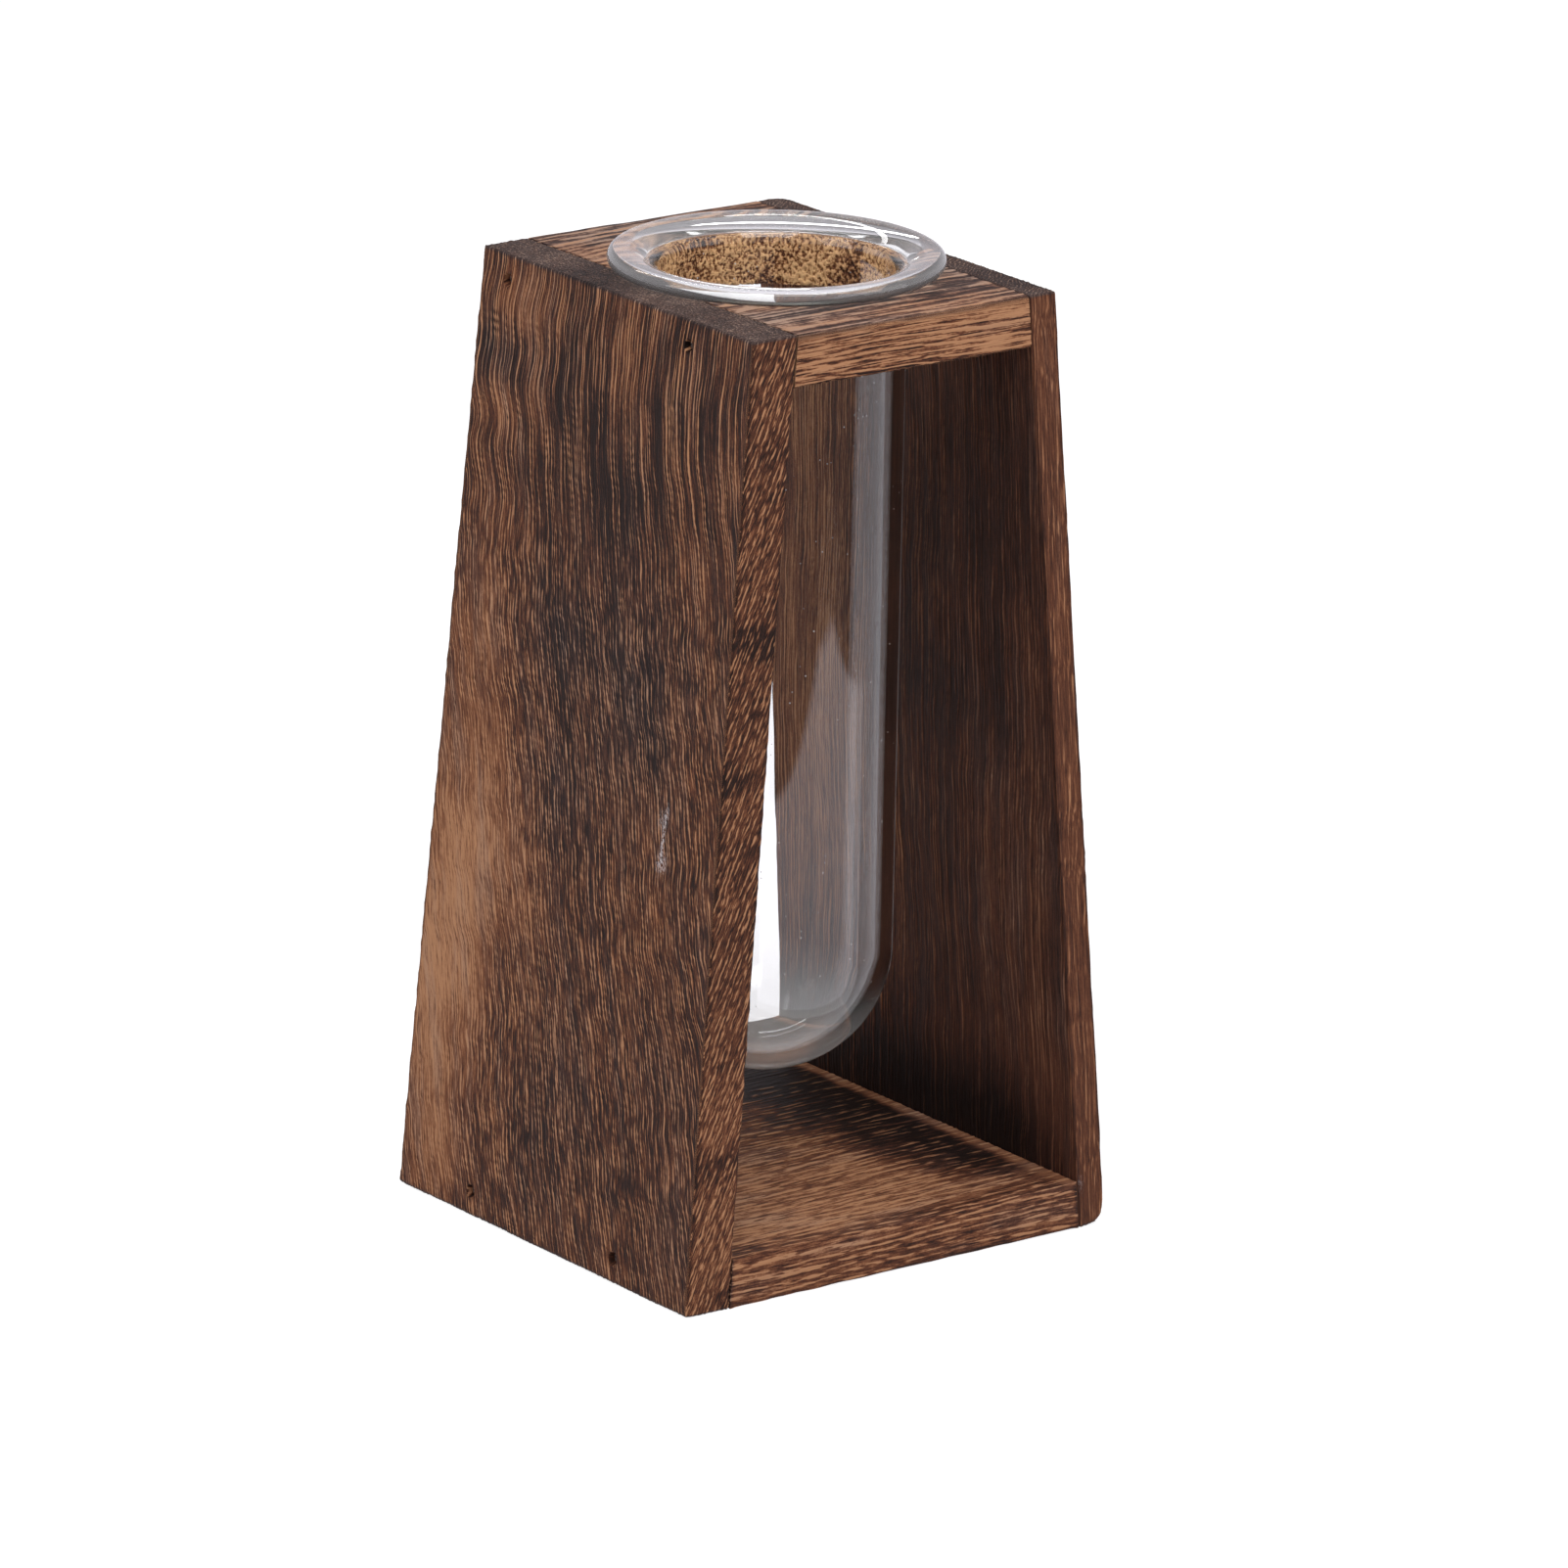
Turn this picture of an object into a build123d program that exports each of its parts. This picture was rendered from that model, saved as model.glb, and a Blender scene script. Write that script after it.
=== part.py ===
from build123d import *
import os

# A glass test tube that hangs by its rim in a tapered stand of four nailed boards.
# Millimetres. +Z is up, the open front looks along -Y, and the origin is on the surface
# that the stand rests on, in the middle of its footprint.

os.makedirs("parts", exist_ok=True)

# The stand as a whole
base_width = 93.0
base_depth = 88.0
top_depth = 80.0
stand_height = 173.0

# The boards
left_thickness = 9.5
right_thickness = 6.0
top_thickness = 9.5
bottom_thickness = 9.0
arris_radius = 0.6
left_foot_wear = 0.8
right_foot_wear = 2.4

# The glass tube, which hangs a little above the bottom board
tube_radius = 23.0
tube_floor_gap = 17.0
wall = 2.2
bottom_wall = 2.6
rim_overhang = 6.8
rim_thickness = 3.0
rim_root_radius = 0.8
mouth_radius = 4.4

# The hole that the tube hangs in, and the wood left on either side of it
tube_clearance = 0.7
hole_edge_radius = 1.0
hole_margin = 1.3

# The brads, and how far they stand from the edges of the side boards
brad_radius = 0.6
brad_length = 15.0
brad_point = 1.6
brad_head_radius = 0.9
brad_head_height = 0.6
brad_set_depth = 1.2
brad_clearance = 0.03
top_front_brad_edge = 18.5
top_back_brad_edge = 8.0
bottom_front_brad_edge = 22.5
bottom_back_brad_edge = 22.0

# How far a cutting shape runs past the wood
overrun = 5.0

# At its top the stand is as wide as the hole with its margins and the two side boards
hole_radius = tube_radius + tube_clearance
top_width = 2 * (hole_radius + hole_margin) + left_thickness + right_thickness


def half_width(height):
    """Half of the stand's outer width at a height."""
    return (base_width + (top_width - base_width) * height / stand_height) / 2


def half_depth(height):
    """Half of the stand's depth at a height."""
    return (base_depth + (top_depth - base_depth) * height / stand_height) / 2


def board_outline(low_left, low_right, high_left, high_right, low, high):
    """The corners of a four-sided outline between two heights."""
    return [(low_left, low), (low_right, low), (high_right, high), (high_left, high)]


# The outline of the whole stand seen from its side, which every board is cut to
depth_outline = board_outline(
    -half_depth(0), half_depth(0), -half_depth(stand_height), half_depth(stand_height), 0, stand_height
)

# The tube hangs halfway between the inner faces of the side boards
tube_x = (left_thickness - right_thickness) / 2

# The cross boards: the heights of their two faces
board_heights = {
    "top": (stand_height - top_thickness, stand_height),
    "bottom": (0, bottom_thickness),
}

# The rows of brads: how far their brads stand from the front and the back edge
brad_edges = {
    "top": (top_front_brad_edge, top_back_brad_edge),
    "bottom": (bottom_front_brad_edge, bottom_back_brad_edge),
}

# Each row runs at the middle of its cross board: its height and its places along the depth
brad_rows = {}
for row_name, (front_edge, back_edge) in brad_edges.items():
    height = sum(board_heights[row_name]) / 2
    brad_rows[row_name] = (height, [front_edge - half_depth(height), half_depth(height) - back_edge])

# Side -1 is the left board and side 1 the right one
sides = {
    "left": (-1, left_thickness, left_foot_wear),
    "right": (1, right_thickness, right_foot_wear),
}


def head_reach(height):
    """How far the outer end of a brad's head lies from the middle of the stand."""
    return half_width(height) - brad_set_depth


# Side boards
for side_name, (side, thickness, foot_wear) in sides.items():
    with BuildPart() as side_board:
        with BuildSketch(Plane.XZ):
            Polygon(
                *board_outline(
                    side * half_width(0),
                    side * (half_width(0) - thickness),
                    side * half_width(stand_height),
                    side * (half_width(stand_height) - thickness),
                    0,
                    stand_height,
                ),
                align=None,
            )
        extrude(amount=base_depth, both=True)
        with BuildSketch(Plane.YZ):
            Polygon(*depth_outline, align=None)
        extrude(amount=base_width, both=True, mode=Mode.INTERSECT)
        # The lower outer edge is worn, and the other outer edges are eased
        outward = Axis((0, 0, 0), (side, 0, 0))
        outer_face = side_board.faces().sort_by(outward)[-1]
        fillet(outer_face.edges().sort_by(Axis.Z)[0], radius=foot_wear)
        outer_face = side_board.faces().sort_by(outward)[-1]
        fillet(outer_face.edges().sort_by(Axis.Z)[1:], radius=arris_radius)
        # Each brad has a through hole, and a pocket where its head is set below the face
        for height, places in brad_rows.values():
            with BuildSketch(Plane.YZ):
                with Locations(*[(place, height) for place in places]):
                    Circle(brad_radius + brad_clearance)
            extrude(amount=side * base_width, mode=Mode.SUBTRACT)
            pocket_floor = head_reach(height) - brad_head_height
            with BuildSketch(Plane.YZ.offset(side * pocket_floor)):
                with Locations(*[(place, height) for place in places]):
                    Circle(brad_head_radius + brad_clearance)
            extrude(amount=side * (brad_set_depth + brad_head_height + overrun), mode=Mode.SUBTRACT)
    side_board.part.label = side_name + "_side_board"
    export_step(side_board.part, "parts/" + side_board.part.label + ".step")


def inner_outline(low, high):
    """The outline of a cross board, whose ends lie on the inner faces of the side boards."""
    return board_outline(
        left_thickness - half_width(low),
        half_width(low) - right_thickness,
        left_thickness - half_width(high),
        half_width(high) - right_thickness,
        low,
        high,
    )


# Cross boards: the top one has the round hole for the tube, and the bottom one is the floor
for row_name, (height, places) in brad_rows.items():
    low, high = board_heights[row_name]
    with BuildPart() as cross_board:
        with BuildSketch(Plane.XZ):
            Polygon(*inner_outline(low, high), align=None)
        extrude(amount=base_depth, both=True)
        with BuildSketch(Plane.YZ):
            Polygon(*depth_outline, align=None)
        extrude(amount=base_width, both=True, mode=Mode.INTERSECT)
        fillet(cross_board.edges().filter_by(Axis.X), radius=arris_radius)
        if row_name == "top":
            with BuildSketch(Plane.XY.offset(high)):
                with Locations((tube_x, 0)):
                    Circle(hole_radius)
            extrude(amount=low - high - overrun, mode=Mode.SUBTRACT)
            hole_edges = cross_board.edges().filter_by(GeomType.CIRCLE)
            fillet(hole_edges.group_by(Axis.Z)[-1], radius=hole_edge_radius)
        # The brads' ends lie in blind holes, one row from each side
        for side in (-1, 1):
            outside = half_width(height) + overrun
            hole_end = head_reach(height) - brad_length - brad_clearance
            with BuildSketch(Plane.YZ.offset(side * outside)):
                with Locations(*[(place, height) for place in places]):
                    Circle(brad_radius + brad_clearance)
            extrude(amount=side * (hole_end - outside), mode=Mode.SUBTRACT)
    cross_board.part.label = row_name + "_board"
    export_step(cross_board.part, "parts/" + cross_board.part.label + ".step")

# Brads, two in each of the four joints
for side_name, (side, *_) in sides.items():
    for row_name, (height, places) in brad_rows.items():
        with BuildPart() as brads:
            for place in places:
                head = (side * head_reach(height), place, height)
                with BuildSketch(Plane(origin=head, x_dir=(-side, 0, 0), z_dir=(0, side, 0))):
                    Polygon(
                        (0, 0),
                        (0, brad_head_radius),
                        (brad_head_height, brad_head_radius),
                        (brad_head_height, brad_radius),
                        (brad_length - brad_point, brad_radius),
                        (brad_length, 0),
                        align=None,
                    )
                revolve(axis=Axis(head, (-side, 0, 0)))
        brads.part.label = side_name + "_" + row_name + "_brads"
        export_step(brads.part, "parts/" + brads.part.label + ".step")

# Glass tube
rim_top = stand_height + rim_thickness
tube_bottom = bottom_thickness + tube_floor_gap
rim_radius = tube_radius + rim_overhang
inner_radius = tube_radius - wall
bead_radius = rim_thickness / 2
outer_bowl = (tube_x, tube_bottom + tube_radius)
inner_bowl = (tube_x, tube_bottom + bottom_wall + inner_radius)
root_centre = (tube_x + tube_radius + rim_root_radius, stand_height - rim_root_radius)
bead_centre = (tube_x + rim_radius - bead_radius, stand_height + bead_radius)
mouth_centre = (tube_x + inner_radius + mouth_radius, rim_top - mouth_radius)

with BuildPart() as glass_tube:
    with BuildSketch(Plane.XZ):
        with BuildLine():
            bowl = CenterArc(outer_bowl, tube_radius, start_angle=-90, arc_size=90)
            root = CenterArc(root_centre, rim_root_radius, start_angle=180, arc_size=-90)
            Line(bowl @ 1, root @ 0)
            bead = CenterArc(bead_centre, bead_radius, start_angle=-90, arc_size=180)
            Line(root @ 1, bead @ 0)
            mouth = CenterArc(mouth_centre, mouth_radius, start_angle=90, arc_size=90)
            Line(bead @ 1, mouth @ 0)
            inner = CenterArc(inner_bowl, inner_radius, start_angle=0, arc_size=-90)
            Line(mouth @ 1, inner @ 0)
            Line(inner @ 1, bowl @ 0)
        make_face()
    revolve(axis=Axis((tube_x, 0, 0), (0, 0, 1)))
glass_tube.part.label = "glass_tube"
export_step(glass_tube.part, "parts/glass_tube.step")
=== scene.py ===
import itertools
import math

import bpy
import bmesh
import numpy as np
from mathutils import Matrix, Vector


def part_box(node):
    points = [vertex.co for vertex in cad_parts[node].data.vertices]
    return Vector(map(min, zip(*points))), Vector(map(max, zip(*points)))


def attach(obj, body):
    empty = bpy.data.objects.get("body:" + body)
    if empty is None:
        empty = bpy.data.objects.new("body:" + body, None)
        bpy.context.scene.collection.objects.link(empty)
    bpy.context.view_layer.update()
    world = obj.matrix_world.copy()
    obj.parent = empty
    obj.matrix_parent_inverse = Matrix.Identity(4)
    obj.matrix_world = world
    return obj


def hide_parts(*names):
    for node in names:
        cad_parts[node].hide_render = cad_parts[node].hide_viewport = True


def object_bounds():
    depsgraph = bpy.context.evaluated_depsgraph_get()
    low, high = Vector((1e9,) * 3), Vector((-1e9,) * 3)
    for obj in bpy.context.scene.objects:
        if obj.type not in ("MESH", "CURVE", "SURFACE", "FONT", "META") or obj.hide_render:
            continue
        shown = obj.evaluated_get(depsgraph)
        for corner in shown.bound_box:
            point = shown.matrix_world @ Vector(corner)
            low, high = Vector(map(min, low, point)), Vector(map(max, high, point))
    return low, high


# A glass test tube that hangs by its rim in a tapered stand of four torched boards.
# Sizes are in millimetres here, and meshes are made in metres in the model's frame.

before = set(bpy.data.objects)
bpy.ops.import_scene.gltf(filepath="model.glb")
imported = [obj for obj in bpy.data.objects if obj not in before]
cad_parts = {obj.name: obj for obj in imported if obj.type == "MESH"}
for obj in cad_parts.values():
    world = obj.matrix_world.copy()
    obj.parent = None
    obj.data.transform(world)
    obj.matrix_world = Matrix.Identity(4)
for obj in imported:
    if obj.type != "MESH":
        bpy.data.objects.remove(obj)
cad_low, cad_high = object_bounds()

MM = 0.001

# The stand, as the frame has it
BASE_WIDTH = 93
BASE_DEPTH = 88
TOP_WIDTH = 65.5
TOP_DEPTH = 80
STAND_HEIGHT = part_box("top_board")[1].z / MM
LEFT_THICKNESS = 9.5
RIGHT_THICKNESS = 6
TOP_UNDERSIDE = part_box("top_board")[0].z / MM
FLOOR_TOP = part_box("bottom_board")[1].z / MM

# The tube
TUBE_RADIUS = 23
TUBE_CLEARANCE = 0.7
WALL = 2.2
BOTTOM_WALL = 2.6
RIM_THICKNESS = 3
RIM_ROOT_RADIUS = 0.8
MOUTH_RADIUS = 4.4
tube_low, tube_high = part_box("glass_tube")
TUBE_BOTTOM = tube_low.z / MM
RIM_TOP = tube_high.z / MM
RIM_RADIUS = (tube_high.x - tube_low.x) / 2 / MM
TUBE_X = (tube_high.x + tube_low.x) / 2 / MM
HOLE_RADIUS = TUBE_RADIUS + TUBE_CLEARANCE

# The brads lie in uneven pockets in the side boards, where the mesh is finer
LEFT_BRADS = ("left_top_brads", "left_bottom_brads")
RIGHT_BRADS = ("right_top_brads", "right_bottom_brads")
BRAD_HEAD_RADIUS = 0.9
POCKET_DEPTH = 1.5
POCKET_RADIUS = 1
POCKET_UNEVENNESS = 0.14
# Painted shade darkens the wood inside the pockets
POCKET_SHADE = -0.1
HALO_TONE = -0.14
FINE_MESH_REACH = 2.4
FINE_MESH_CUTS = 4

# The arrises are eased unevenly, and hardly where two boards meet
ARRIS_RADIUS = 0.5
ARRIS_CHANGE = 0.2
ARRIS_REACH = 9
LEAST_RADIUS = 0.25
JOINT_RADIUS = 0.15
LIP_RADIUS = 1

# The side boards are worn at the foot and chipped, and the right one at its upper back corner
LEFT_FOOT_WEAR = 0.8
RIGHT_FOOT_WEAR = 2.4
FOOT_WEAR_REACH = 3
CHIP_DEPTH = 0.8
CORNER_WEAR = 4.4
CORNER_WEAR_START = 26
CORNER_WEAR_END = 2

# The boards' mesh cells: along the grain, back across it, and through the board
SIDE_CELLS = (1.45, 0.32, 0.4)
CROSS_CELLS = (1.3, 0.38, 0.5)
# The first grid lines from each end of a side
EDGE_STEPS = np.array([0, 0.12, 0.3, 0.55, 0.9, 1.4, 2, 2.8])
SHARP_ANGLE = 50

# The top board's divisions: round it, up its edges, over its faces, down the hole and at arrises
WALK_ACROSS = 120
WALK_BACK = 210
EDGE_ROWS = 12
FACE_ROWS = 34
WALL_ROWS = 32
ROUND_ROWS = 5

# The tube's divisions: its bowl, its walls, the rim's root, bead and mouth, and round it
BOWL_STEPS = 40
STRAIGHT_STEPS = 30
ROOT_STEPS = 7
BEAD_STEPS = 22
MOUTH_STEPS = 24
TUBE_SEGMENTS = 160

# The depth of the brushed grain, and how much deeper knobbly wood is
SIDE_RELIEF = 0.16
CROSS_RELIEF = 0.14
KNOB_DEPTH = 2

# The fine lines in the brushed wood, and how far they wander, in radians
LINE_SPACING = 0.95
LINE_WANDER = 24

# The colours of the wood, from charred at 0 to pale at 1
WARM_STOPS = [
    (0, (34, 22, 18)), (0.25, (60, 36, 27)), (0.5, (92, 55, 39)),
    (0.75, (131, 86, 61)), (1, (174, 127, 93)),
]
GREY_STOPS = [
    (0, (32, 26, 26)), (0.3, (55, 43, 41)), (0.55, (83, 67, 62)),
    (0.8, (121, 100, 90)), (1, (160, 138, 124)),
]
GOLDEN_STOPS = [(0, (38, 21, 15)), (0.35, (96, 56, 37)), (0.6, (148, 102, 68)), (1, (214, 170, 124))]
CREST_AND_HIGHLIGHT_COLOUR = (176, 128, 94)
PORE_COLOUR = (36, 24, 21)
SCUFF_COLOUR = (206, 196, 196)

# The steel of the brads
STAIN_COLOUR = (96, 84, 78)
STEEL_COLOUR = (186, 178, 172)

# The glass, in linear values, and its cells of dust in a millimetre
GLASS_IOR = 1.48
DEPTH_TINT = (0.80, 0.91, 0.80, 1)
DEPTH_DENSITY = 14
SHADOW_TINT = (0.93, 0.95, 0.94, 1)
HAZE_AND_LIGHT_COLOUR = (0.80, 0.77, 0.77, 1)
DUST_CELLS = 0.8

# The camera, with its angles in degrees
IMAGE_SIDE = 1602
CAMERA_AZIMUTH = -36.95
CAMERA_ELEVATION = 17.05
CAMERA_ROLL = 1.14
CAMERA_DISTANCE = 2000
CAMERA_TARGET = (5.66, 0, 77.5)
FOCAL_PIXELS = 11501
SENSOR_WIDTH = 36
CLIP_START = 50
CLIP_END = 20000


def half_width(height):
    """Half of the stand's outer width at a height."""
    return (BASE_WIDTH + (TOP_WIDTH - BASE_WIDTH) * height / STAND_HEIGHT) / 2


def half_depth(height):
    """Half of the stand's depth at a height."""
    return (BASE_DEPTH + (TOP_DEPTH - BASE_DEPTH) * height / STAND_HEIGHT) / 2


def between_sides(share_across, share_back, height):
    """Places between the side boards, from shares of the width and depth at a height."""
    left = LEFT_THICKNESS - half_width(height)
    right = half_width(height) - RIGHT_THICKNESS
    across = left + (right - left) * share_across
    return np.stack([across, (share_back * 2 - 1) * half_depth(height)], axis=1)


# Fields over a board

def drift(places, reach, seed, waves=7):
    """A smooth random field of about -1 to 1, which changes over its reach on each axis."""
    draw = np.random.default_rng(seed)
    scaled = places / reach
    field = np.zeros(len(places))
    for _ in range(waves):
        direction = draw.normal(size=3)
        direction /= np.linalg.norm(direction)
        turns = scaled @ direction * draw.uniform(0.6, 1.5)
        field += np.sin(math.tau * (turns + draw.uniform()))
    return field * 1.5 / waves


def ramp(values, low, high):
    """A smooth step from 0 at low to 1 at high."""
    share = np.clip((values - low) / (high - low), 0, 1)
    return share * share * (3 - 2 * share)


def spot(places, centre, reach):
    """A soft round patch, 1 at its centre."""
    away = (places - centre) / reach
    return np.exp(-np.sum(away * away, axis=1))


def faded(first, second, share):
    """The first value where the share is 0, and the second where it is 1."""
    return first * (1 - share) + second * share


def at_ends(places, length, start, full):
    """A smooth step to 1 at both ends of a length, with places from its middle."""
    return ramp(np.abs(places), length / 2 - start, length / 2 - full)


def eased(places, seed):
    """The radius of the arrises at each place."""
    return ARRIS_RADIUS + ARRIS_CHANGE * drift(places, ARRIS_REACH, seed=seed)


# Meshes

def add_object(name, data):
    """An object in the scene."""
    made = bpy.data.objects.new(name, data)
    bpy.context.scene.collection.objects.link(made)
    return made


def grid_lines(length, cell):
    """The places of grid lines along a side, closer near its ends."""
    count = round((length - 2 * EDGE_STEPS[-1]) / cell)
    middle = np.linspace(EDGE_STEPS[-1], length - EDGE_STEPS[-1], count + 1)[1:-1]
    return np.concatenate([EDGE_STEPS, middle, length - EDGE_STEPS[::-1]])


def block_surface(size, cells):
    """The points and faces on the outside of a block, on a grid with these cells."""
    lines = [grid_lines(length, cell) for length, cell in zip(size, cells)]
    last = [len(places) - 1 for places in lines]
    numbers = {}
    points = []
    faces = []

    def number(key):
        if key not in numbers:
            numbers[key] = len(points)
            points.append([lines[axis][key[axis]] for axis in range(3)])
        return numbers[key]

    for axis in range(3):
        first, second = (axis + 1) % 3, (axis + 2) % 3
        for end in (0, last[axis]):
            for i, j in itertools.product(range(last[first]), range(last[second])):
                face = []
                for corner in ((i, j), (i + 1, j), (i + 1, j + 1), (i, j + 1)):
                    key = [end] * 3
                    key[first], key[second] = corner
                    face.append(number(tuple(key)))
                faces.append(face if end else face[::-1])
    return np.array(points), faces


def rounded(points, size, radius):
    """A block's points with its edges rounded, by a radius for each point."""
    radius = radius[:, None]
    core = np.clip(points, radius, size - radius)
    out = points - core
    length = np.linalg.norm(out, axis=1, keepdims=True)
    return core + out * radius / np.maximum(length, 1e-9)


def make_mesh(name, points, faces, fields):
    """A piece from points in millimetres, with fields of one or three numbers for each point."""
    mesh = bpy.data.meshes.new(name)
    mesh.from_pydata((points * MM).tolist(), [], faces)
    for field, values in fields.items():
        kind, key = ("FLOAT", "value") if values.ndim == 1 else ("FLOAT_VECTOR", "vector")
        attribute = mesh.attributes.new(field, kind, "POINT")
        attribute.data.foreach_set(key, values.astype(np.float32).ravel())
    work = bmesh.new()
    work.from_mesh(mesh)
    if work.calc_volume(signed=True) < 0:
        bmesh.ops.reverse_faces(work, faces=work.faces)
    work.to_mesh(mesh)
    work.free()
    mesh.shade_smooth()
    mesh.set_sharp_from_angle(angle=math.radians(SHARP_ANGLE))
    return add_object(name, mesh)


def refined(points, faces, centres):
    """A block's points and faces, with a finer grid round each centre on its outer face."""
    mesh = bpy.data.meshes.new("block")
    mesh.from_pydata(points.tolist(), [], faces)
    work = bmesh.new()
    work.from_mesh(mesh)
    bpy.data.meshes.remove(mesh)
    for centre in centres:
        near = set()
        for face in work.faces:
            middle = face.calc_center_median()
            if middle.z < 1e-6 and math.dist(middle[:2], centre) < FINE_MESH_REACH:
                near.update(face.edges)
        bmesh.ops.subdivide_edges(work, edges=list(near), cuts=FINE_MESH_CUTS, use_grid_fill=True)
    bmesh.ops.triangulate(work, faces=[face for face in work.faces if len(face.verts) > 4])
    work.verts.index_update()
    points = np.array([tuple(vert.co) for vert in work.verts])
    faces = [[vert.index for vert in face.verts] for face in work.faces]
    work.free()
    return points, faces


# Node trees

def add(tree, kind, inputs=None, **settings):
    """A node with its settings and inputs. Sockets are linked, and nodes by their first output."""
    made = tree.nodes.new(kind)
    for name, value in settings.items():
        setattr(made, name, value)
    for name, value in (inputs or {}).items():
        if isinstance(value, bpy.types.Node):
            value = value.outputs[0]
        if isinstance(value, bpy.types.NodeSocket):
            tree.links.new(value, made.inputs[name])
        else:
            made.inputs[name].default_value = value
    return made


def calc(tree, operation, *numbers):
    """The result of a sum on up to three numbers."""
    return add(tree, "ShaderNodeMath", dict(enumerate(numbers)), operation=operation)


def product(tree, first, *others):
    """The product of numbers."""
    for number in others:
        first = calc(tree, "MULTIPLY", first, number)
    return first


def step(tree, value, low, high, to_low=0, to_high=1):
    """A smooth step of a value between two limits."""
    inputs = dict(enumerate((value, low, high, to_low, to_high)))
    return add(tree, "ShaderNodeMapRange", inputs, interpolation_type="SMOOTHSTEP")


def read(tree, name, kind="FLOAT"):
    """A mesh attribute, in a material or a geometry tree."""
    if tree.bl_idname == "GeometryNodeTree":
        return add(tree, "GeometryNodeInputNamedAttribute", {"Name": name}, data_type=kind)
    attribute = add(tree, "ShaderNodeAttribute", attribute_name=name)
    return attribute.outputs["Fac" if kind == "FLOAT" else "Vector"]


def mix(tree, share, first, second):
    """A mix of two numbers."""
    return add(tree, "ShaderNodeMix", {0: share, 2: first, 3: second}, clamp_factor=True)


def blend(tree, share, first, second):
    """A mix of two colours."""
    return add(tree, "ShaderNodeMix", {0: share, 6: first, 7: second}, data_type="RGBA").outputs[2]


def mix_shader(tree, share, first, second):
    """A mix of the surfaces that two nodes make."""
    return add(tree, "ShaderNodeMixShader", {0: share, 1: first, 2: second})


def total(tree, *terms):
    """The sum of numbers, each given with its weight."""
    result = 0
    for value, weight in terms:
        result = calc(tree, "MULTIPLY_ADD", value, weight, result)
    return result


def noise(tree, grain, across, along, detail=2, roughness=0.55, place=0):
    """Noise with so many cycles in a millimetre across and along the grain. Place picks a part of it."""
    inputs = {0: grain, 1: (across, across, along), 2: (place, place, place)}
    scaled = add(tree, "ShaderNodeVectorMath", inputs, operation="MULTIPLY_ADD")
    inputs = {"Vector": scaled, "Scale": 1, "Detail": detail, "Roughness": roughness}
    return add(tree, "ShaderNodeTexNoise", inputs)


def new_material(name):
    """A material and its empty tree."""
    material = bpy.data.materials.new(name)
    material.use_nodes = True
    tree = material.node_tree
    tree.nodes.clear()
    return material, tree


def srgb(*colour):
    """A colour in linear values, from the usual 0 to 255."""
    def linear(value):
        value /= 255
        return value / 12.92 if value <= 0.04045 else ((value + 0.055) / 1.055) ** 2.4
    return *map(linear, colour), 1


def colour_ramp(tree, value, stops):
    """A colour from a value. Stops are pairs of a place and a colour, the first at 0 and the last at 1."""
    made = add(tree, "ShaderNodeValToRGB", {0: value})
    elements = made.color_ramp.elements
    for place, colour in stops[1:-1]:
        elements.new(place).color = srgb(*colour)
    elements[0].color, elements[-1].color = srgb(*stops[0][1]), srgb(*stops[-1][1])
    return made


# Materials

def wood_height(tree):
    """How high the brushed wood stands, from 0 in a groove to 1 on a ridge."""
    grain = read(tree, "grain", "FLOAT_VECTOR")
    # Streaks that break up into flecks, with fine lines in them that wander
    across = add(tree, "ShaderNodeVectorMath", {0: grain, 1: (1, 1, 0)}, operation="DOT_PRODUCT")
    wander = noise(tree, grain, 0.3, 0.02, place=3)
    turns = total(tree, (across.outputs["Value"], math.tau / LINE_SPACING), (wander, LINE_WANDER))
    even = step(tree, calc(tree, "SINE", turns), -0.2, 1)
    line = step(tree, noise(tree, grain, 2.6, 0.03, detail=1.5), 0.36, 0.64)
    fleck = step(tree, noise(tree, grain, 2.9, 0.24, detail=1.5, place=7), 0.36, 0.62)
    streak = mix(tree, read(tree, "fleck"), line, fleck)
    streak = product(tree, streak, calc(tree, "MULTIPLY_ADD", even, 0.7, 0.3))
    # Small bumps, as in hammered leather
    knob = step(tree, noise(tree, grain, 1.4, 2.2, detail=1, place=13), 0.3, 0.7)
    return mix(tree, read(tree, "knob"), streak, knob)


def wood_tone(tree, grain, height, fine, speck):
    """The wood's tone, from charred at 0 to tan at 1."""
    band = step(tree, noise(tree, grain, 0.45, 0.013, place=29), 0.34, 0.66)
    cloud = step(tree, noise(tree, grain, 0.12, 0.035, detail=3, place=33), 0.3, 0.7)
    coarse = total(tree, (band, 0.12), (cloud, 0.28), (1, -0.2))
    coarse = product(tree, coarse, calc(tree, "MULTIPLY_ADD", read(tree, "fleck"), -0.3, 0.8))
    spread = total(tree, (height, 0.7), (fine, 0.26), (coarse, 1), (speck, 0.4), (1, -0.58))
    tone = calc(tree, "MULTIPLY_ADD", spread, read(tree, "contrast"), 0.5)
    return total(tree, (tone, 1), (read(tree, "tone"), 1), (read(tree, "edge"), -0.3))


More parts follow.
